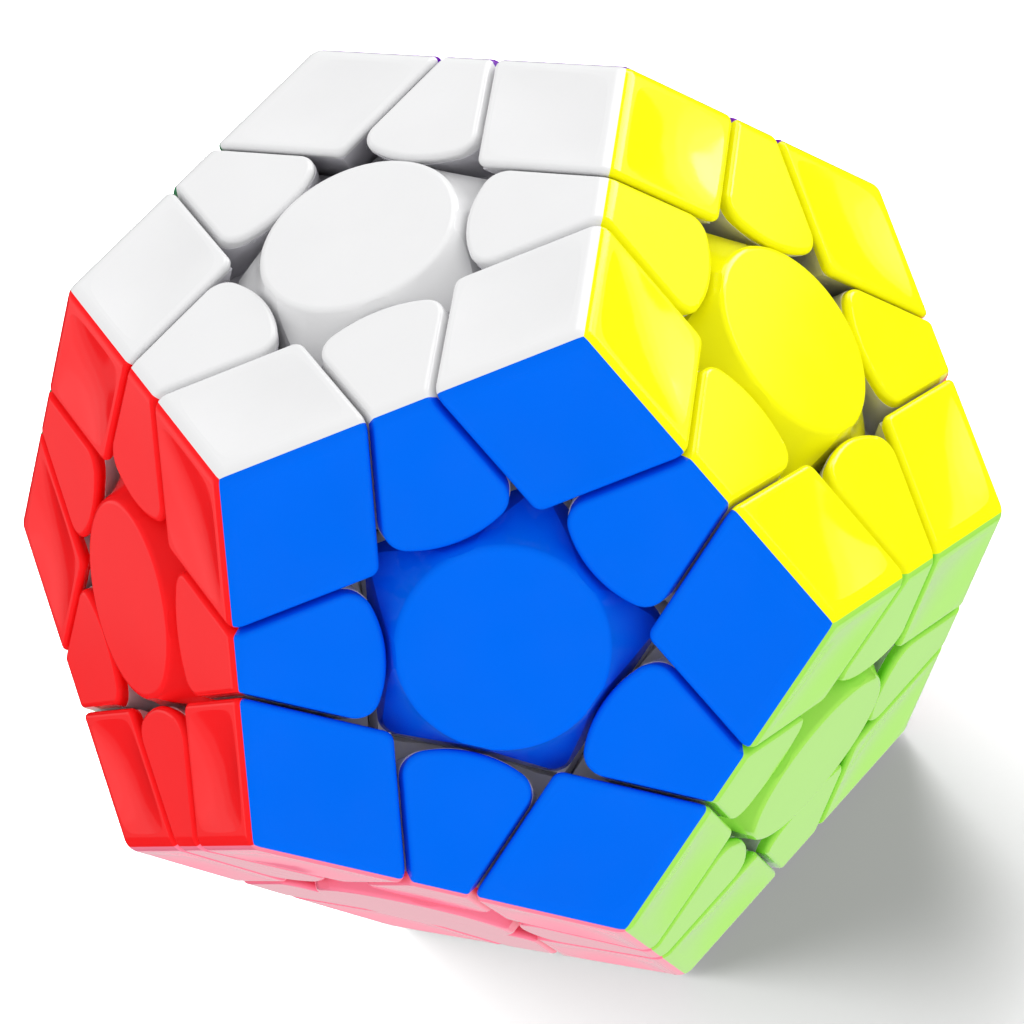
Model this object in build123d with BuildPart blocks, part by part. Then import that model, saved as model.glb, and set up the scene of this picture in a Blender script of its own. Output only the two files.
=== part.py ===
"""Dodecahedron twisty puzzle with twelve colours: 12 centres, 30 edges and 20 corners on a sprung core.

The origin is the core centre, where all twelve turning axes meet. +Z runs out through the white
face, and the puzzle stands on its grey face. Lengths are in millimetres.

Every piece is first made once in the frame of a face: the face's outward normal is +Z and one of
its five neighbours lies towards +X. The piece is then placed round the dodecahedron by rotation.
"""

import os
from math import asin, atan, atan2, cos, degrees, radians, sin, sqrt, tan

from build123d import *

# Driving dimensions
ACROSS_FLATS = 70.0
CUT_DISTANCE = 23.62
GAP = 0.3
BODY_CLEARANCE = 0.15
SHELL = 1.05
WALL = 1.2
EDGE_END_WALL = 2.6

# Outside shape of the coloured tiles. An edge body shows past its tile's shoulders by END_LEDGE
RIDGE_RADIUS = 1.7
RIM_RADIUS = 0.45
CORNER_TIP_RADIUS = 1.15
DISH_DEPTH = 0.45
DISH_LIFT = 0.03
DISH_MARGIN = 0.1
SHOULDER_RADIUS = 2.2
END_ARC_RADIUS = 10.2
END_ARC_INSET = 0.05
END_LEDGE = 0.12

# Turning surfaces inside: a cone for the necks, a wider cone for the feet, and the core ball
NECK_ANGLE = 43.5
FOOT_ANGLE = 50.5
FOOT_TOP = 19.0
FOOT_BOTTOM = 13.5
HOLLOW_START = 22.0
GROOVE_DEPTH = 5.0
GROOVE_REACH = 17.0

# Centre piece
CAP_RADIUS = 8.85
CAP_RAISE = 0.45
CAP_RIM = 0.65
FLARE_START_SLOPE = 65.0
FLARE_END_SLOPE = 32.0
FLARE_RADIUS = 5.5
CAP_BOTTOM = 31.0
CAP_WALL = 1.5
CAP_POCKET_RADIUS = 8.0
STAR_TIP_RADIUS = 2.0
SKIRT_LENGTH = 3.0
PLUG_RADIUS = 5.2
PLUG_WALL = 0.9
PLUG_DEPTH = 1.6
SLIDE_FIT = 0.05
WELL_RADIUS = 4.1
WELL_WALL = 1.2
WELL_FLOOR = 20.5

# Core and fastening
CORE_RADIUS = 12.8
BOSS_RADIUS = 2.4
BOSS_TOP = 13.2
CORE_CAVITY_RADIUS = 6.0
SCREW_RADIUS = 1.2
SCREW_TIP = 7.5
SCREW_HEAD_RADIUS = 2.4
SCREW_HEAD_HEIGHT = 1.8
SCREW_HEAD_BASE = 27.0
RECESS_WIDTH = 0.7
RECESS_LENGTH = 2.8
RECESS_DEPTH = 1.1
RECESS_TAPER = 8.0
CORE_HOLE_FIT = 0.05
TURNING_HOLE_FIT = 0.2
WASHER_RADIUS = 3.6
WASHER_THICKNESS = 0.4
SPRING_RADIUS = 2.6
SPRING_WIRE = 0.5
SPRING_TURNS = 4.5
CUP_RADIUS = 3.7
CUP_FLANGE = 0.9
CUP_SLEEVE_RADIUS = 2.1
CUP_SLEEVE_BOTTOM = 22.6

# Colours round the solid, and the faces whose layers turn
UPPER_RING = ("blue", "yellow", "purple", "dark_green", "red")
LOWER_RING = ("light_green", "orange", "sky_blue", "cream", "pink")
UPPER_START = -90.0
LOWER_START = -54.0
TURNING_FACES = ("white", "light_green", "cream")

# How close to a plane an edge's middle has to be when edges are picked by their place
TOP_REACH = 0.3
SEAM_REACH = 0.2
WIDE_SEAM_REACH = 0.8
END_REACH = 1.0
ON_PLANE = 0.001

# Geometry of the regular dodecahedron
INRADIUS = ACROSS_FLATS / 2
NEIGHBOUR_COS = 1 / sqrt(5)
NEIGHBOUR_SIN = 2 / sqrt(5)
FIFTH = 72.0
RING_ELEVATION = degrees(atan(0.5))
HALF_FOLD = degrees(atan(NEIGHBOUR_SIN / (1 + NEIGHBOUR_COS)))
FAR = 60.0


def pointing(azimuth, elevation):
    """Unit vector at an azimuth and an elevation in degrees."""
    level = cos(radians(elevation))
    return Vector(level * cos(radians(azimuth)), level * sin(radians(azimuth)), sin(radians(elevation)))


def side_normal(fifths):
    """Normal of the neighbouring face that lies this many fifths of a turn from +X."""
    return pointing(FIFTH * fifths, RING_ELEVATION)


def side_distance(distance, height):
    """How far from the face's axis a neighbour's plane at this distance passes, at a height."""
    return (distance - NEIGHBOUR_COS * height) / NEIGHBOUR_SIN


UP = Vector(0, 0, 1)
CORNER_NORMALS = (UP, side_normal(0), side_normal(1))
EDGE_NORMALS = (UP, side_normal(0))
EDGE_END_NORMALS = (side_normal(1), side_normal(-1))
SIDE_NORMALS = tuple(side_normal(fifths) for fifths in range(5))
SIDE_SLOPE = NEIGHBOUR_COS / NEIGHBOUR_SIN

NORMALS = {"white": UP, "grey": -UP}
for ring_place, face_name in enumerate(UPPER_RING):
    NORMALS[face_name] = pointing(UPPER_START + FIFTH * ring_place, RING_ELEVATION)
for ring_place, face_name in enumerate(LOWER_RING):
    NORMALS[face_name] = pointing(LOWER_START + FIFTH * ring_place, -RING_ELEVATION)


def across(normal, distance):
    """Plane square to a normal, at a distance from the core centre."""
    return Plane(origin=normal * distance, z_dir=normal)


def face_frame(normal, towards):
    """Plane at the core centre with +Z along a face normal and +X towards a neighbour."""
    return Plane(origin=(0, 0, 0), x_dir=towards - normal * normal.dot(towards), z_dir=normal)


def keep_between(normals, inner, outer):
    """Cut the current part to the slabs between two planes of each of these faces."""
    for normal in normals:
        split(bisect_by=across(normal, outer), keep=Keep.BOTTOM)
        split(bisect_by=across(normal, inner), keep=Keep.TOP)


def keep_inside(normals, distance):
    """Cut the current part to the inner side of one plane of each of these faces."""
    for normal in normals:
        split(bisect_by=across(normal, distance), keep=Keep.BOTTOM)


# ---------------------------------------------------------------- coloured corner tile


def lowest_and_highest(normals, point):
    """Least and greatest distance of a point along some normals."""
    along = [normal.dot(point) for normal in normals]
    return min(along), max(along)


def on_corner_rim(edge):
    """Whether an edge of the corner shell runs along the top of a seam wall."""
    low, high = lowest_and_highest(CORNER_NORMALS, edge @ 0.5)
    return high > INRADIUS - TOP_REACH and low < CUT_DISTANCE + GAP / 2 + SEAM_REACH


def dish_face():
    """Shallow bowl over one corner tile, in the frame of its face."""
    seam_tangent = RIM_RADIUS / tan(radians(HALF_FOLD))
    ridge_tangent = RIDGE_RADIUS * tan(radians(HALF_FOLD))
    near = side_distance(CUT_DISTANCE + GAP / 2, INRADIUS) + seam_tangent + DISH_MARGIN
    far = side_distance(INRADIUS, INRADIUS) - ridge_tangent - DISH_MARGIN
    rim_height = INRADIUS + DISH_LIFT
    middle_height = rim_height - 4 * (DISH_DEPTH + DISH_LIFT)
    rows = []
    for row in range(3):
        points = []
        for column in range(3):
            x = near + (far - near) * row / 2
            along = near + (far - near) * column / 2
            y = (along - x * cos(radians(FIFTH))) / sin(radians(FIFTH))
            height = middle_height if (row, column) == (1, 1) else rim_height
            points.append((x, y, height))
        rows.append(points)
    return Face.make_bezier_surface(rows)


with BuildPart() as corner_core_block:
    Box(2 * FAR, 2 * FAR, 2 * FAR)
    keep_inside(CORNER_NORMALS, INRADIUS - SHELL)

with BuildPart() as dish_cutter:
    extrude(dish_face(), amount=SHELL, dir=(0, 0, 1))

with BuildPart() as corner_tile:
    Box(2 * FAR, 2 * FAR, 2 * FAR)
    keep_between(CORNER_NORMALS, CUT_DISTANCE + GAP / 2, INRADIUS)
    outer_vertex = corner_tile.vertices().sort_by_distance((0, 0, 0))[-1]
    fillet(corner_tile.edges().sort_by_distance(outer_vertex)[:3], RIDGE_RADIUS)
    inner_vertex = corner_tile.vertices().sort_by_distance((0, 0, 0))[0]
    fillet(corner_tile.edges().sort_by_distance(inner_vertex)[:3], CORNER_TIP_RADIUS)
    fillet(corner_tile.edges().filter_by(on_corner_rim), RIM_RADIUS)
    add(corner_core_block.part, mode=Mode.SUBTRACT)
    for other in CORNER_NORMALS[1:]:
        split(bisect_by=across((UP - other).normalized(), 0), keep=Keep.TOP)
    add(dish_cutter.part, mode=Mode.SUBTRACT)


# ---------------------------------------------------------------- coloured edge tile


def edge_outline(height, inset):
    """Outline of an edge tile at a height: straight beside the corners, round at the inner end."""
    side = side_distance(CUT_DISTANCE - GAP / 2, height)
    apex = side_distance(CUT_DISTANCE + GAP / 2, height) + END_ARC_INSET + inset
    wedge_tip = (side / cos(radians(FIFTH)), 0)
    wedge_half = side / sin(radians(FIFTH))
    with BuildSketch(Plane.XY.offset(height)) as outline:
        Polygon(wedge_tip, (0, wedge_half), (0, -wedge_half), align=None)
        with BuildSketch(Plane.XY.offset(height), mode=Mode.INTERSECT):
            with Locations((apex + END_ARC_RADIUS, 0)):
                Circle(END_ARC_RADIUS)
                Rectangle(4 * END_ARC_RADIUS, 2 * END_ARC_RADIUS, align=(Align.MIN, Align.CENTER))
        fillet(outline.vertices().sort_by(Axis.X)[:2], SHOULDER_RADIUS)
    return outline.sketch


def on_edge_rim(edge):
    """Whether an edge of the edge tile runs along the top of its outline."""
    near, out = lowest_and_highest(EDGE_NORMALS, edge @ 0.5)
    beside_corner = lowest_and_highest(EDGE_END_NORMALS, edge @ 0.5)[1] > CUT_DISTANCE - WIDE_SEAM_REACH
    return out > INRADIUS - TOP_REACH and (beside_corner or near < CUT_DISTANCE + END_REACH)


RIDGE_TANGENT = side_distance(INRADIUS, INRADIUS) - RIDGE_RADIUS * tan(radians(HALF_FOLD))

with BuildPart() as ridge_cutter:
    with BuildSketch(Plane.XZ):
        with Locations((RIDGE_TANGENT, INRADIUS - RIDGE_RADIUS)):
            Rectangle(3 * RIDGE_RADIUS, 2 * RIDGE_RADIUS, align=(Align.MIN, Align.MIN))
            Circle(RIDGE_RADIUS, mode=Mode.SUBTRACT)
    extrude(amount=FAR, both=True)

with BuildPart() as edge_tile:
    add(edge_outline(INRADIUS - SHELL, 0))
    add(edge_outline(INRADIUS, 0))
    loft(ruled=True)
    split(bisect_by=across((UP - side_normal(0)).normalized(), 0), keep=Keep.TOP)
    add(ridge_cutter.part, mode=Mode.SUBTRACT)
    fillet(edge_tile.edges().filter_by(on_edge_rim), RIM_RADIUS)


# ---------------------------------------------------------------- turning surfaces


def turning_zone(clearance):
    """Everything that turns with the +Z layer, drawn in from its bounding surface by a clearance."""
    foot_radius = FOOT_TOP - clearance
    along_circle = sqrt(foot_radius**2 - clearance**2)
    corners = {}
    for name, angle in (("foot", FOOT_ANGLE), ("neck", NECK_ANGLE)):
        start = clearance / sin(radians(angle))
        reach = along_circle - start * cos(radians(angle))
        corners[name] = (reach * sin(radians(angle)), start + reach * cos(radians(angle)))
    middle_angle = radians((FOOT_ANGLE + NECK_ANGLE) / 2) - asin(clearance / foot_radius)
    shelf = (foot_radius * sin(middle_angle), foot_radius * cos(middle_angle))
    floor = CUT_DISTANCE + clearance
    neck_start = clearance / sin(radians(NECK_ANGLE))
    neck_top = ((floor - neck_start) * tan(radians(NECK_ANGLE)), floor)
    with BuildPart() as zone:
        with BuildSketch(Plane.XZ):
            with BuildLine():
                Line((0, clearance / sin(radians(FOOT_ANGLE))), corners["foot"])
                ThreePointArc(corners["foot"], shelf, corners["neck"])
                Polyline(corners["neck"], neck_top, (FAR, floor), (FAR, FAR), (0, FAR))
                Line((0, FAR), (0, clearance / sin(radians(FOOT_ANGLE))))
            make_face()
        revolve(axis=Axis.Z)
    return zone.part


BODY_TURNS = turning_zone(BODY_CLEARANCE)
BODY_STAYS = turning_zone(-BODY_CLEARANCE)
HOLLOW_TURNS = turning_zone(BODY_CLEARANCE + WALL)
HOLLOW_STAYS = turning_zone(-BODY_CLEARANCE - WALL)
EDGE_HOLLOW = turning_zone(BODY_CLEARANCE + EDGE_END_WALL)


def zone_places(normals):
    """Where the +Z turning zone goes to become the zone of each of these faces."""
    return [Plane(origin=(0, 0, 0), z_dir=normal).location for normal in normals]


def dodecahedron(inradius):
    """Regular dodecahedron about the core centre, standing as it does in the frame of a face."""
    with BuildPart() as solid:
        Box(2 * FAR, 2 * FAR, 2 * FAR)
        for normal in (UP, *SIDE_NORMALS):
            keep_between((normal,), -inradius, inradius)
    return solid.part


def piece_core(turning, staying, outside, zone_in, zone_out, inner_radius):
    """Solid inside the zones of some faces, outside those of others, and clear of a central ball."""
    with BuildPart() as core_solid:
        add(outside)
        for place in zone_places(turning):
            with Locations(place):
                add(zone_in, mode=Mode.INTERSECT)
        for place in zone_places(staying):
            with Locations(place):
                add(zone_out, mode=Mode.SUBTRACT)
        Sphere(inner_radius, mode=Mode.SUBTRACT)
    return core_solid.part


# Half a turn about the middle of the ridge, which swaps the two faces of an edge piece
EDGE_SWAP = face_frame(side_normal(0), UP).location
UNDER_SHELL = dodecahedron(INRADIUS - SHELL)
WHOLE = dodecahedron(INRADIUS)
CLEAR_OF_CORE = FOOT_BOTTOM + GAP / 2

with BuildPart() as edge_body_end:
    add(edge_outline(INRADIUS - GROOVE_DEPTH, -END_LEDGE))
    add(edge_outline(INRADIUS, -END_LEDGE))
    loft(ruled=True)

with BuildPart() as end_groove_cutter:
    with BuildSketch(Plane.XY.offset(INRADIUS - GROOVE_DEPTH)):
        Rectangle(GROOVE_REACH, 2 * END_ARC_RADIUS, align=(Align.MIN, Align.CENTER))
    extrude(amount=GROOVE_DEPTH)
    add(edge_body_end.part, mode=Mode.SUBTRACT)

with BuildPart() as corner_body:
    add(piece_core(CORNER_NORMALS, (), UNDER_SHELL, BODY_TURNS, BODY_STAYS, CLEAR_OF_CORE))
    add(
        piece_core(CORNER_NORMALS, (), WHOLE, HOLLOW_TURNS, HOLLOW_STAYS, HOLLOW_START),
        mode=Mode.SUBTRACT,
    )

with BuildPart() as edge_body:
    add(piece_core(EDGE_NORMALS, EDGE_END_NORMALS, UNDER_SHELL, BODY_TURNS, BODY_STAYS, CLEAR_OF_CORE))
    with Locations(Location(), EDGE_SWAP):
        add(end_groove_cutter.part, mode=Mode.SUBTRACT)
    add(
        piece_core(EDGE_NORMALS, EDGE_END_NORMALS, WHOLE, EDGE_HOLLOW, HOLLOW_STAYS, HOLLOW_START),
        mode=Mode.SUBTRACT,
    )


# ---------------------------------------------------------------- centre piece


def on_star_tip(edge):
    """Whether an edge runs down one of the five points of the centre cap."""
    nearest = sorted(normal.dot(edge @ 0.5) for normal in SIDE_NORMALS)[-2]
    return nearest > CUT_DISTANCE - GAP / 2 - ON_PLANE


with BuildPart() as center_cap:
    with BuildSketch(Plane.XZ):
        with BuildLine():
            top = INRADIUS + CAP_RAISE
            rim_center = Vector(CAP_RADIUS - CAP_RIM, top - CAP_RIM)
            steep = radians(FLARE_START_SLOPE)
            shallow = radians(FLARE_END_SLOPE)
            rim_middle = rim_center + Vector(sin(steep / 2), cos(steep / 2)) * CAP_RIM
            rim_end = rim_center + Vector(sin(steep), cos(steep)) * CAP_RIM
            flare_center = rim_end + Vector(sin(steep), cos(steep)) * FLARE_RADIUS
            between = (steep + shallow) / 2
            flare_middle = flare_center - Vector(sin(between), cos(between)) * FLARE_RADIUS
            flare_end = flare_center - Vector(sin(shallow), cos(shallow)) * FLARE_RADIUS
            skirt = flare_end + Vector(cos(shallow), -sin(shallow)) * SKIRT_LENGTH
            plug_inside = PLUG_RADIUS - PLUG_WALL
            Line((0, top), (rim_center.X, top))
            ThreePointArc((rim_center.X, top), rim_middle, rim_end)
            ThreePointArc(rim_end, flare_middle, flare_end)
            Polyline(
                flare_end,
                skirt,
                (skirt.X, CAP_BOTTOM),
                (CAP_POCKET_RADIUS, CAP_BOTTOM),
                (CAP_POCKET_RADIUS, top - CAP_WALL),
                (PLUG_RADIUS, top - CAP_WALL),
                (PLUG_RADIUS, CAP_BOTTOM - PLUG_DEPTH),
                (plug_inside, CAP_BOTTOM - PLUG_DEPTH),
                (plug_inside, top - CAP_WALL),
                (0, top - CAP_WALL),
                (0, top),
            )
        make_face()
    revolve(axis=Axis.Z)
    keep_inside(SIDE_NORMALS, CUT_DISTANCE - GAP / 2)
    star_tips = center_cap.edges().filter_by(GeomType.LINE).filter_by(on_star_tip)
    fillet(star_tips, STAR_TIP_RADIUS)

with BuildPart() as base_hollow:
    add(piece_core((UP,), SIDE_NORMALS, WHOLE, HOLLOW_TURNS, HOLLOW_STAYS, HOLLOW_START))
    with BuildSketch():
        Circle(WELL_RADIUS + WELL_WALL)
    extrude(amount=FAR, mode=Mode.SUBTRACT)

with BuildPart() as center_base:
    add(piece_core((UP,), SIDE_NORMALS, UNDER_SHELL, BODY_TURNS, BODY_STAYS, CLEAR_OF_CORE))
    split(bisect_by=across(UP, CAP_BOTTOM), keep=Keep.BOTTOM)
    add(base_hollow.part, mode=Mode.SUBTRACT)
    with BuildSketch(Plane.XY.offset(CAP_BOTTOM - PLUG_DEPTH)):
        Circle(PLUG_RADIUS + SLIDE_FIT)
    extrude(amount=FAR, mode=Mode.SUBTRACT)
    with BuildSketch(Plane.XY.offset(WELL_FLOOR)):
        Circle(WELL_RADIUS)
    extrude(amount=FAR, mode=Mode.SUBTRACT)
    with BuildSketch():
        Circle(SCREW_RADIUS + TURNING_HOLE_FIT)
    extrude(amount=FAR, mode=Mode.SUBTRACT)


# ---------------------------------------------------------------- core and fastening

with BuildPart() as washer:
    with BuildSketch(Plane.XY.offset(WELL_FLOOR)):
        Circle(WASHER_RADIUS)
        Circle(SCREW_RADIUS + TURNING_HOLE_FIT, mode=Mode.SUBTRACT)
    extrude(amount=WASHER_THICKNESS)

with BuildPart() as spring_cup:
    with BuildSketch(Plane.XY.offset(SCREW_HEAD_BASE)):
        Circle(CUP_RADIUS)
    extrude(amount=-CUP_FLANGE)
    with BuildSketch(Plane.XY.offset(CUP_SLEEVE_BOTTOM)):
        Circle(CUP_SLEEVE_RADIUS)
    extrude(amount=SCREW_HEAD_BASE - CUP_SLEEVE_BOTTOM)
    fillet(spring_cup.edges().group_by(Axis.Z)[-1], CUP_FLANGE / 3)
    with BuildSketch():
        Circle(SCREW_RADIUS + CORE_HOLE_FIT)
    extrude(amount=FAR, mode=Mode.SUBTRACT)

SPRING_LOW = WELL_FLOOR + WASHER_THICKNESS + SPRING_WIRE / 2
SPRING_HIGH = SCREW_HEAD_BASE - CUP_FLANGE - SPRING_WIRE / 2

with BuildPart() as spring:
    with BuildLine(Plane.XY.offset(SPRING_LOW)) as coil:
        Helix((SPRING_HIGH - SPRING_LOW) / SPRING_TURNS, SPRING_HIGH - SPRING_LOW, SPRING_RADIUS)
    with BuildSketch(Plane(origin=coil.line @ 0, z_dir=coil.line % 0)):
        Circle(SPRING_WIRE / 2)
    sweep(is_frenet=True)

with BuildPart() as core_screw:
    with BuildSketch(Plane.XY.offset(SCREW_TIP)):
        Circle(SCREW_RADIUS)
    extrude(amount=SCREW_HEAD_BASE - SCREW_TIP)
    chamfer(core_screw.edges().sort_by(Axis.Z)[0], SCREW_RADIUS / 3)
    with BuildSketch(Plane.XY.offset(SCREW_HEAD_BASE)):
        Circle(SCREW_HEAD_RADIUS)
    extrude(amount=SCREW_HEAD_HEIGHT)
    fillet(core_screw.edges().sort_by(Axis.Z)[-1], SCREW_HEAD_HEIGHT / 3)
    with BuildSketch(Plane.XY.offset(SCREW_HEAD_BASE + SCREW_HEAD_HEIGHT)):
        Rectangle(RECESS_LENGTH, RECESS_WIDTH)
        Rectangle(RECESS_WIDTH, RECESS_LENGTH)
    extrude(amount=-RECESS_DEPTH, taper=RECESS_TAPER, mode=Mode.SUBTRACT)

with BuildPart() as core:
    Sphere(CORE_RADIUS)
    for normal in NORMALS.values():
        with BuildSketch(across(normal, 0)):
            Circle(BOSS_RADIUS)
        extrude(amount=BOSS_TOP)
    Sphere(CORE_CAVITY_RADIUS, mode=Mode.SUBTRACT)
    for normal in NORMALS.values():
        with BuildSketch(across(normal, 0)):
            Circle(SCREW_RADIUS + CORE_HOLE_FIT)
        extrude(amount=FAR, mode=Mode.SUBTRACT)


# ---------------------------------------------------------------- where the pieces go


def neighbours(face):
    """The five faces round a face, counter-clockwise seen from outside."""
    normal = NORMALS[face]
    around = [name for name, other in NORMALS.items() if 0.1 < normal.dot(other) < 0.9]
    start = NORMALS[around[0]]

    def turn(name):
        other = NORMALS[name]
        sideways = start.cross(other).dot(normal)
        onward = start.dot(other) - start.dot(normal) * other.dot(normal)
        return round(degrees(atan2(sideways, onward))) % 360

    return sorted(around, key=turn)


def place(face, towards):
    """Location that carries a piece from the working frame to this face, +X towards a neighbour."""
    return face_frame(NORMALS[face], NORMALS[towards]).location


def layer_of(faces):
    """The turning face among the faces that a piece belongs to, or None for a fixed piece."""
    turning = [face for face in faces if face in TURNING_FACES]
    return turning[0] if turning else None


EDGES = []
CORNERS = []
for face in NORMALS:
    ring = neighbours(face)
    for first, second in zip(ring, ring[1:] + ring[:1]):
        if face < first:
            EDGES.append((face, first))
        if face < first and face < second:
            CORNERS.append((face, first, second))

# Node name -> the solids in it, each with its location
nodes = {}


def put(name, solid, location):
    """Add one placed solid to a node."""
    nodes.setdefault(name, []).append((solid, location))


def tile_node(face, layer, kind):
    """Name of the node that holds a face's tiles of one kind in one layer."""
    if layer is None:
        return f"{face}_tiles"
    if face == layer:
        return f"{face}_{kind}_tiles"
    return f"{layer}_layer_{face}_tiles"


def body_node(layer, kind):
    """Name of the node that holds the inner bodies or bases of one layer."""
    return f"fixed_{kind}" if layer is None else f"{layer}_layer_{kind}"


for faces in CORNERS:
    layer = layer_of(faces)
    put(body_node(layer, "corner_bodies"), corner_body.part, place(faces[0], faces[1]))
    for step in range(3):
        face, following = faces[step], faces[(step + 1) % 3]
        put(tile_node(face, layer, "corner"), corner_tile.part, place(face, following))

for faces in EDGES:
    layer = layer_of(faces)
    put(body_node(layer, "edge_bodies"), edge_body.part, place(*faces))
    for face, following in (faces, faces[::-1]):
        put(tile_node(face, layer, "edge"), edge_tile.part, place(face, following))

for face in NORMALS:
    layer = layer_of((face,))
    here = place(face, neighbours(face)[0])
    put(f"{face}_center_cap", center_cap.part, here)
    put(body_node(layer, "center_base" if layer else "center_bases"), center_base.part, here)
    put("core_screws", core_screw.part, here)
    put("springs", spring.part, here)
    put("spring_cups", spring_cup.part, here)
    put("washers", washer.part, here)

put("core", core.part, Location())

os.makedirs("parts", exist_ok=True)
for name, solids in nodes.items():
    with BuildPart() as node:
        for solid, location in solids:
            with Locations(location):
                add(solid)
    node.part.label = name
    export_step(node.part, f"parts/{name}.step")
    print(f"{name}: {len(node.part.solids())} solids, {node.part.volume:.0f} mm3")
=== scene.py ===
import math

import bpy
from mathutils import Matrix, Vector


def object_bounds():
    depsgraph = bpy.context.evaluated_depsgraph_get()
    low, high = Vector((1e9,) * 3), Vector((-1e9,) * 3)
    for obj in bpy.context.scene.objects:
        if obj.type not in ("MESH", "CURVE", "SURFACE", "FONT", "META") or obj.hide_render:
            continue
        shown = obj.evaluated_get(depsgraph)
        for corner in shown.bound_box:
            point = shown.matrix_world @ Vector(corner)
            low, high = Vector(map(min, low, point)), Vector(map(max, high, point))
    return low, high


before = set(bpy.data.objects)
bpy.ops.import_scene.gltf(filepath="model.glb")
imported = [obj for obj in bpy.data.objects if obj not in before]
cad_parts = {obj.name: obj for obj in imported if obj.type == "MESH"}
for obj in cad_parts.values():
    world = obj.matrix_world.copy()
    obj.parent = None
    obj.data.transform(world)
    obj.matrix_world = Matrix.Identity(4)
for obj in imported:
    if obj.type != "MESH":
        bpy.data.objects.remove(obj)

bpy.context.view_layer.update()
cad_low, cad_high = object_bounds()
middle = (cad_low + cad_high) / 2
size = (cad_high - cad_low).length
floor_height = cad_low.z

MILLIMETRE = 0.001

# The camera: a long lens in front of the puzzle, above it and a little to its right, rolled so that the white
# face leans left. Lens and sensor are in millimetres.
CAMERA_AZIMUTH = math.radians(8.52)
CAMERA_ELEVATION = math.radians(42.4)
CAMERA_ROLL = math.radians(27.0)
CAMERA_DISTANCE = 0.39974
CAMERA_AIM = Vector((0.93, 0.15, 0.01)) * MILLIMETRE
CAMERA_LENS = 160.7
SENSOR_WIDTH = 36.0
CLIP_START = size * 0.01
CLIP_END = size * 200

# Brightness of the studio straight up and straight down.
LIGHT_FROM_ABOVE = 1.0
LIGHT_FROM_BELOW = 1.45
STRAIGHT_DOWN = -1.0

# Softboxes: direction from the puzzle, width and height as shares of their distance, and brightness.
SOFTBOX_DISTANCE = size * 9
SOFTBOXES = {
    "back_right": ((0.38, 0.70, 0.60), 0.5, 0.5, 1.8),
    "right_back": ((0.80, 0.64, 0.20), 0.45, 0.45, 4.0),
    "under": ((0.0, 0.4, -0.9), 0.9, 0.7, 0.6),
}
# Each of these is laid several times over itself, a little higher each time, so it fades out at its
# lower side.
FADE_STEPS = 4
FADE_RISE = 0.06
FADED_BOXES = {
    "right_low": ((0.88, 0.46, -0.02), 0.5, 0.3, 0.55),
    "left_back": ((-0.81, 0.50, -0.22), 0.5, 0.4, 0.1),
}
# Only the floor takes these two, which throw its shadow. They stand far off, so it is lit evenly to its end.
FLOOR_LIGHT_DISTANCE = size * 60
FLOOR_LIGHTS = {
    "floor_key": ((-0.86, 0.29, 0.42), 1.1, 1.1, 125.0),
    "floor_fill": ((-0.12, 0.88, 0.46), 1.0, 1.0, 190.0),
}

# The floor: half its width, the clouds in its tone, and its own glow, which keeps its shadow pale.
FLOOR_HALF = size * 25
FLOOR_CLOUD = size
FLOOR_TONES = ((0.048, 0.048, 0.048), (0.052, 0.052, 0.052))
FLOOR_ROUGHNESS = 0.9
FLOOR_SPECULAR = 0.1
FLOOR_GLOW = 0.32
WHITE = (1, 1, 1, 1)

# The part of its range that noise mostly fills, and how rough it is: most of it, and smudges and fine grain.
NOISE_LOW = 0.3
NOISE_HIGH = 0.7
EVEN_NOISE = 0.5
ROUGH_NOISE = 0.6

# Painted shade in seams and hollows: the colour darkens to a deeper tone where the surface is closed in. How
# far around a point is looked at, what counts as closed or open, and how much of a colour stays in the
# painted shade.
PAINTED_SHADE_REACH = 4 * MILLIMETRE
PAINTED_SHADE_SAMPLES = 4
PAINTED_SHADE_CLOSED = 0.35
PAINTED_SHADE_OPEN = 0.9
PAINTED_SHADE_SHARE = 0.25
PAINTED_SHADE_RISE = 0.68

# Glossy shells: clouds and specks in the tone, smudges in the gloss, sink marks and grain in the surface.
SHELL_CLOUD = 9 * MILLIMETRE
SHELL_TONES = (0.985, 1.01)
SPECK_SIZE = 0.35 * MILLIMETRE
SPECK_LOW = 0.45
SPECK_HIGH = 0.75
SPECK_SHARE = 0.05
SPECK_TONE = 0.88
SMUDGE_SIZE = 5 * MILLIMETRE
SHELL_ROUGHNESS = (0.065, 0.10)
SHELL_SPECULAR = 0.42
SINK_SIZE = 7 * MILLIMETRE
SINK_DEPTH = 0.003 * MILLIMETRE
SHELL_GRAIN = 0.12 * MILLIMETRE
SHELL_GRAIN_DEPTH = 0.0006 * MILLIMETRE

# Satin plastic inside: clouds in the tone, rubbed patches, grain.
INNER_CLOUD = 4 * MILLIMETRE
INNER_TONES = (0.9, 1.07)
INNER_RUB = 1.5 * MILLIMETRE
INNER_GRAIN = 0.15 * MILLIMETRE
INNER_GRAIN_DEPTH = 0.003 * MILLIMETRE

# Metal: clouds in the tone, marks in the gloss, grain.
METAL_CLOUD = 1.2 * MILLIMETRE
METAL_TONES = (0.85, 1.1)
METAL_MARKS = 0.4 * MILLIMETRE
METAL_GRAIN = 0.08 * MILLIMETRE
METAL_GRAIN_DEPTH = 0.002 * MILLIMETRE

# Linear colours of the twelve moulded shells.
SHELL_COLOURS = {
    "white": (0.79, 0.79, 0.795),
    "grey": (0.33, 0.35, 0.38),
    "blue": (0.0, 0.138, 0.86),
    "yellow": (0.90, 0.88, 0.006),
    "purple": (0.20, 0.02, 0.42),
    "dark_green": (0.0, 0.20, 0.07),
    "red": (0.97, 0.016, 0.019),
    "light_green": (0.36, 0.74, 0.10),
    "orange": (0.90, 0.20, 0.01),
    "sky_blue": (0.10, 0.55, 0.92),
    "cream": (0.92, 0.83, 0.55),
    "pink": (0.97, 0.23, 0.34),
}

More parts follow.
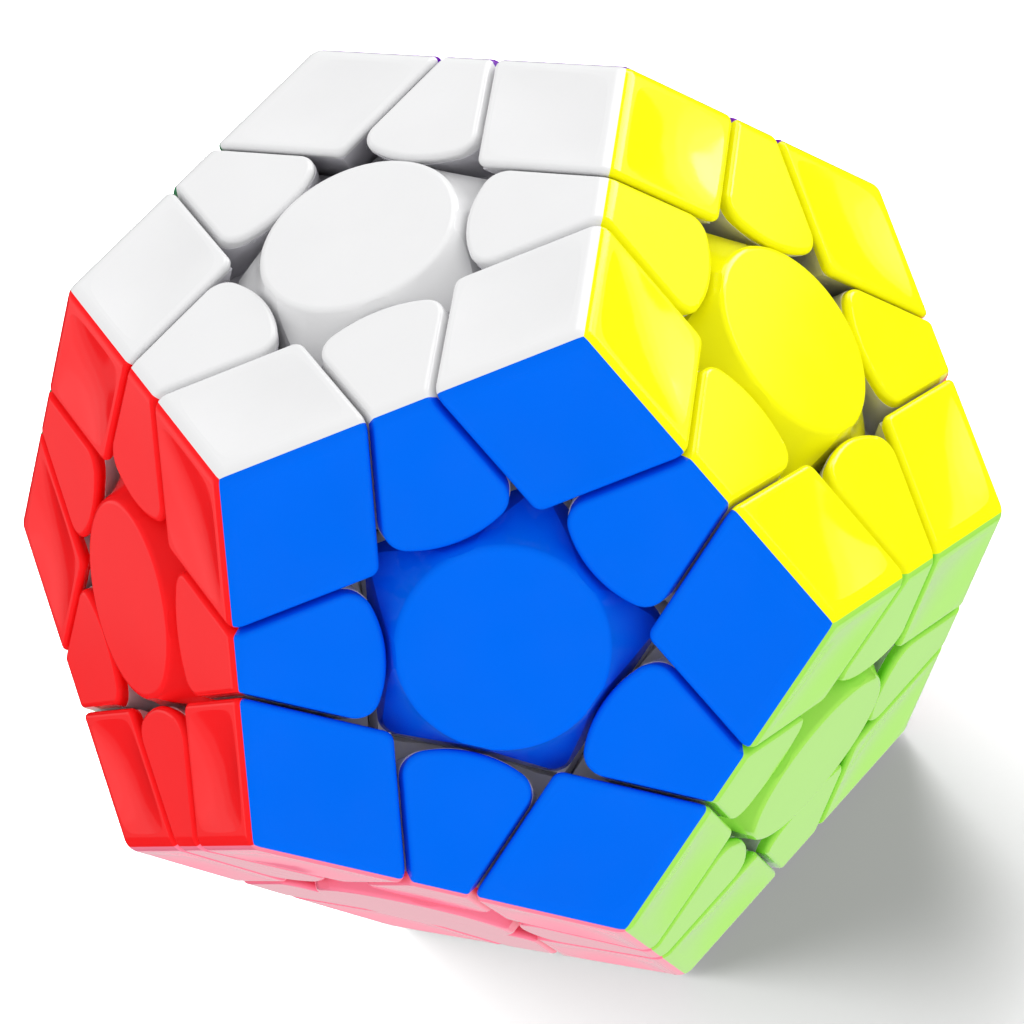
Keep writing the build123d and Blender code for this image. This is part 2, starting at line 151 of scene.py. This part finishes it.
# The other slots: material name, linear colour, and lowest and highest roughness.
INNER_PLASTICS = {
    "inner_plastic": ("sliding_plastic", (0.60, 0.59, 0.63), (0.18, 0.28)),
    "core_plastic": ("core_plastic_dark", (0.07, 0.07, 0.08), (0.38, 0.5)),
    "cup_plastic": ("cup_plastic_natural", (0.72, 0.71, 0.66), (0.35, 0.45)),
}
METALS = {
    "steel": ("zinc_plated_steel", (0.62, 0.62, 0.64), (0.25, 0.38)),
    "spring_steel": ("drawn_spring_steel", (0.46, 0.45, 0.44), (0.22, 0.34)),
}


def rolled_view(azimuth, elevation, roll):
    """The camera's right, up and back directions."""
    right = Vector((math.cos(azimuth), math.sin(azimuth), 0))
    level_back = Vector((math.sin(azimuth), -math.cos(azimuth), 0))
    back = level_back * math.cos(elevation) + Vector((0, 0, math.sin(elevation)))
    up = back.cross(right)
    rolled_up = up * math.cos(roll) + right * math.sin(roll)
    return rolled_up.cross(back), rolled_up, back


def make_camera():
    """A camera at the place, tilt and roll given above."""
    data = bpy.data.cameras.new("camera")
    data.lens = CAMERA_LENS
    data.sensor_width = SENSOR_WIDTH
    data.clip_start = CLIP_START
    data.clip_end = CLIP_END
    camera = bpy.data.objects.new("camera", data)
    bpy.context.scene.collection.objects.link(camera)
    right, up, back = rolled_view(CAMERA_AZIMUTH, CAMERA_ELEVATION, CAMERA_ROLL)
    place = Matrix((right, up, back)).transposed().to_4x4()
    place.translation = CAMERA_AIM + back * CAMERA_DISTANCE
    camera.matrix_world = place
    bpy.context.scene.camera = camera


class Nodes:
    """A material's node tree, with short calls to add nodes and join them."""

    def __init__(self, name):
        self.material = bpy.data.materials.new(name)
        self.material.use_nodes = True
        self.tree = self.material.node_tree
        self.shader = self.tree.nodes["Principled BSDF"]
        self.place = self.add("ShaderNodeTexCoord").outputs["Object"]

    def add(self, kind, **settings):
        """A new node of that kind."""
        node = self.tree.nodes.new(kind)
        for key, value in settings.items():
            setattr(node, key, value)
        return node

    def join(self, source, target):
        """A link from an output to an input."""
        self.tree.links.new(source, target)

    def drive(self, name, source):
        """Joins an output to the shader's input of that name."""
        self.join(source, self.shader.inputs[name])

    def fix(self, name, value):
        """Sets the shader's input of that name to one value."""
        self.shader.inputs[name].default_value = value

    def noise(self, feature_size, detail, roughness=EVEN_NOISE):
        """Smooth random values, 0 to 1, with features of about that size in metres."""
        node = self.add("ShaderNodeTexNoise")
        node.inputs["Scale"].default_value = 1 / feature_size
        node.inputs["Detail"].default_value = detail
        node.inputs["Roughness"].default_value = roughness
        self.join(self.place, node.inputs["Vector"])
        return node.outputs["Fac"]

    def spread(self, value, low, high, from_low=NOISE_LOW, from_high=NOISE_HIGH):
        """The value mapped from one range to another."""
        node = self.add("ShaderNodeMapRange")
        node.inputs["From Min"].default_value = from_low
        node.inputs["From Max"].default_value = from_high
        node.inputs["To Min"].default_value = low
        node.inputs["To Max"].default_value = high
        self.join(value, node.inputs["Value"])
        return node.outputs["Result"]

    def blend(self, factor, first, second):
        """A colour between the two, as the factor says."""
        node = self.add("ShaderNodeMix", data_type="RGBA")
        for socket, value in ((node.inputs["A"], first), (node.inputs["B"], second)):
            if isinstance(value, tuple):
                socket.default_value = (*value, 1)
            else:
                self.join(value, socket)
        self.join(factor, node.inputs["Factor"])
        return node.outputs["Result"]

    def clouded(self, colour, tones, feature_size, detail):
        """The colour, drifting between a darker and a lighter tone of it."""
        low, high = tones
        cloud = self.spread(self.noise(feature_size, detail), 0, 1)
        return self.blend(cloud, scaled(colour, low), scaled(colour, high))

    def painted_shade_mask(self):
        """Mask of the painted shade, from ambient occlusion: 1 on open surfaces, down to 0 in seams and
        hollows.
        """
        node = self.add("ShaderNodeAmbientOcclusion", samples=PAINTED_SHADE_SAMPLES)
        node.inputs["Distance"].default_value = PAINTED_SHADE_REACH
        return self.spread(node.outputs["AO"], 0, 1, PAINTED_SHADE_CLOSED, PAINTED_SHADE_OPEN)

    def bump(self, height, depth, under=None):
        """A bump of that depth in metres, over an earlier one."""
        node = self.add("ShaderNodeBump")
        node.inputs["Strength"].default_value = 1.0
        node.inputs["Distance"].default_value = depth
        self.join(height, node.inputs["Height"])
        if under is not None:
            self.join(under, node.inputs["Normal"])
        return node.outputs["Normal"]


def scaled(colour, factor):
    """The colour made lighter or darker."""
    return tuple(min(1.0, part * factor) for part in colour)


def painted_shade_colour(colour):
    """The darker tone painted in as shade in a seam: its weaker parts drop most, and neutral colours stay so.
    """
    return tuple(part * (PAINTED_SHADE_SHARE + PAINTED_SHADE_RISE * part / max(colour)) for part in colour)


def shell_plastic(name, colour):
    """Glossy moulded plastic: clouds, specks, smudges, sink marks and grain, and painted shade that darkens
    its colour down in the seams.
    """
    nodes = Nodes(name)
    tinted = nodes.clouded(colour, SHELL_TONES, SHELL_CLOUD, detail=3)
    speck = nodes.spread(nodes.noise(SPECK_SIZE, detail=2), 0, SPECK_SHARE, SPECK_LOW, SPECK_HIGH)
    flecked = nodes.blend(speck, tinted, scaled(colour, SPECK_TONE))
    # Painted shade: the colour goes to its darker tone in seams and hollows, as the occlusion mask says.
    nodes.drive("Base Color", nodes.blend(nodes.painted_shade_mask(), painted_shade_colour(colour), flecked))
    smudge = nodes.noise(SMUDGE_SIZE, detail=4, roughness=ROUGH_NOISE)
    nodes.drive("Roughness", nodes.spread(smudge, *SHELL_ROUGHNESS))
    sink = nodes.bump(nodes.noise(SINK_SIZE, detail=0), SINK_DEPTH)
    grain = nodes.noise(SHELL_GRAIN, detail=3, roughness=ROUGH_NOISE)
    nodes.drive("Normal", nodes.bump(grain, SHELL_GRAIN_DEPTH, under=sink))
    nodes.fix("Specular IOR Level", SHELL_SPECULAR)
    return nodes.material


def inner_plastic(name, colour, roughness):
    """Satin moulded plastic of the inside pieces: cloudy, rubbed and finely grained."""
    nodes = Nodes(name)
    nodes.drive("Base Color", nodes.clouded(colour, INNER_TONES, INNER_CLOUD, detail=4))
    nodes.drive("Roughness", nodes.spread(nodes.noise(INNER_RUB, detail=4), *roughness))
    nodes.drive("Normal", nodes.bump(nodes.noise(INNER_GRAIN, detail=3), INNER_GRAIN_DEPTH))
    return nodes.material


def plain_metal(name, colour, roughness):
    """Zinc-plated or drawn steel: clouds, marks and grain."""
    nodes = Nodes(name)
    nodes.fix("Metallic", 1.0)
    nodes.drive("Base Color", nodes.clouded(colour, METAL_TONES, METAL_CLOUD, detail=4))
    nodes.drive("Roughness", nodes.spread(nodes.noise(METAL_MARKS, detail=3), *roughness))
    nodes.drive("Normal", nodes.bump(nodes.noise(METAL_GRAIN, detail=2), METAL_GRAIN_DEPTH))
    return nodes.material


def paint_nodes():
    """Gives every CAD node the full material of its slot."""
    finishes = {slot: shell_plastic("shell_" + slot, colour) for slot, colour in SHELL_COLOURS.items()}
    for slot, (name, colour, roughness) in INNER_PLASTICS.items():
        finishes[slot] = inner_plastic(name, colour, roughness)
    for slot, (name, colour, roughness) in METALS.items():
        finishes[slot] = plain_metal(name, colour, roughness)
    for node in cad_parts.values():
        for holder in node.material_slots:
            holder.material = finishes[holder.material.name]


def make_floor():
    """A wide sheet that the puzzle stands on, pale by its glow and its lights. Only the camera sees it."""
    half = FLOOR_HALF
    corners = [(x, y, floor_height) for x, y in ((-half, -half), (half, -half), (half, half), (-half, half))]
    mesh = bpy.data.meshes.new("floor")
    mesh.from_pydata(corners, [], [(0, 1, 2, 3)])
    floor = bpy.data.objects.new("floor", mesh)
    floor.visible_diffuse = False
    floor.visible_glossy = False
    floor.visible_shadow = False
    bpy.context.scene.collection.objects.link(floor)
    nodes = Nodes("pale_floor")
    cloud = nodes.spread(nodes.noise(FLOOR_CLOUD, detail=2), 0, 1)
    nodes.drive("Base Color", nodes.blend(cloud, *FLOOR_TONES))
    nodes.fix("Roughness", FLOOR_ROUGHNESS)
    nodes.fix("Emission Color", WHITE)
    nodes.fix("Emission Strength", FLOOR_GLOW)
    nodes.fix("Specular IOR Level", FLOOR_SPECULAR)
    mesh.materials.append(nodes.material)
    return floor


def light_world():
    """Even light from all round, brighter from below. Glossy rays don't see it."""
    world = bpy.data.worlds.new("studio")
    bpy.context.scene.world = world
    world.use_nodes = True
    world.cycles_visibility.glossy = False
    world.cycles.sampling_method = "NONE"
    tree = world.node_tree
    upward = tree.nodes.new("ShaderNodeSeparateXYZ")
    tree.links.new(tree.nodes.new("ShaderNodeTexCoord").outputs["Generated"], upward.inputs["Vector"])
    fade = tree.nodes.new("ShaderNodeMapRange")
    fade.inputs["From Min"].default_value = STRAIGHT_DOWN
    fade.inputs["To Min"].default_value = LIGHT_FROM_BELOW
    fade.inputs["To Max"].default_value = LIGHT_FROM_ABOVE
    tree.links.new(upward.outputs["Z"], fade.inputs["Value"])
    tree.nodes["Background"].inputs["Color"].default_value = WHITE
    tree.links.new(fade.outputs["Result"], tree.nodes["Background"].inputs["Strength"])
    bpy.context.scene.view_settings.view_transform = "Standard"


def softbox(name, direction, distance, width, height, brightness):
    """A rectangular soft light that faces the puzzle from that direction."""
    data = bpy.data.lights.new(name, "AREA")
    data.shape = "RECTANGLE"
    data.size = width * distance
    data.size_y = height * distance
    data.energy = brightness * math.pi * data.size * data.size_y
    light = bpy.data.objects.new(name, data)
    bpy.context.scene.collection.objects.link(light)
    light.matrix_world = direction.to_track_quat("Z", "Y").to_matrix().to_4x4()
    light.location = middle + direction.normalized() * distance
    light.visible_camera = False
    return light


def only_lights(light, target):
    """The light reaches that object alone. Everything still throws a shadow in it."""
    receivers = bpy.data.collections.new(light.name + "_receivers")
    receivers.objects.link(target)
    light.light_linking.receiver_collection = receivers


def light_studio(floor):
    """Softboxes that show in the gloss, and strong lights that only the floor takes."""
    for name, (direction, width, height, brightness) in SOFTBOXES.items():
        softbox(name, Vector(direction), SOFTBOX_DISTANCE, width, height, brightness)
    for name, (direction, width, height, brightness) in FADED_BOXES.items():
        for step in range(FADE_STEPS):
            raised = Vector(direction) + Vector((0, 0, FADE_RISE * step))
            softbox(f"{name}_{step}", raised, SOFTBOX_DISTANCE, width, height, brightness)
    for name, (direction, width, height, brightness) in FLOOR_LIGHTS.items():
        light = softbox(name, Vector(direction), FLOOR_LIGHT_DISTANCE, width, height, brightness)
        only_lights(light, floor)


make_camera()
paint_nodes()
floor = make_floor()
light_world()
light_studio(floor)

bpy.context.view_layer.update()
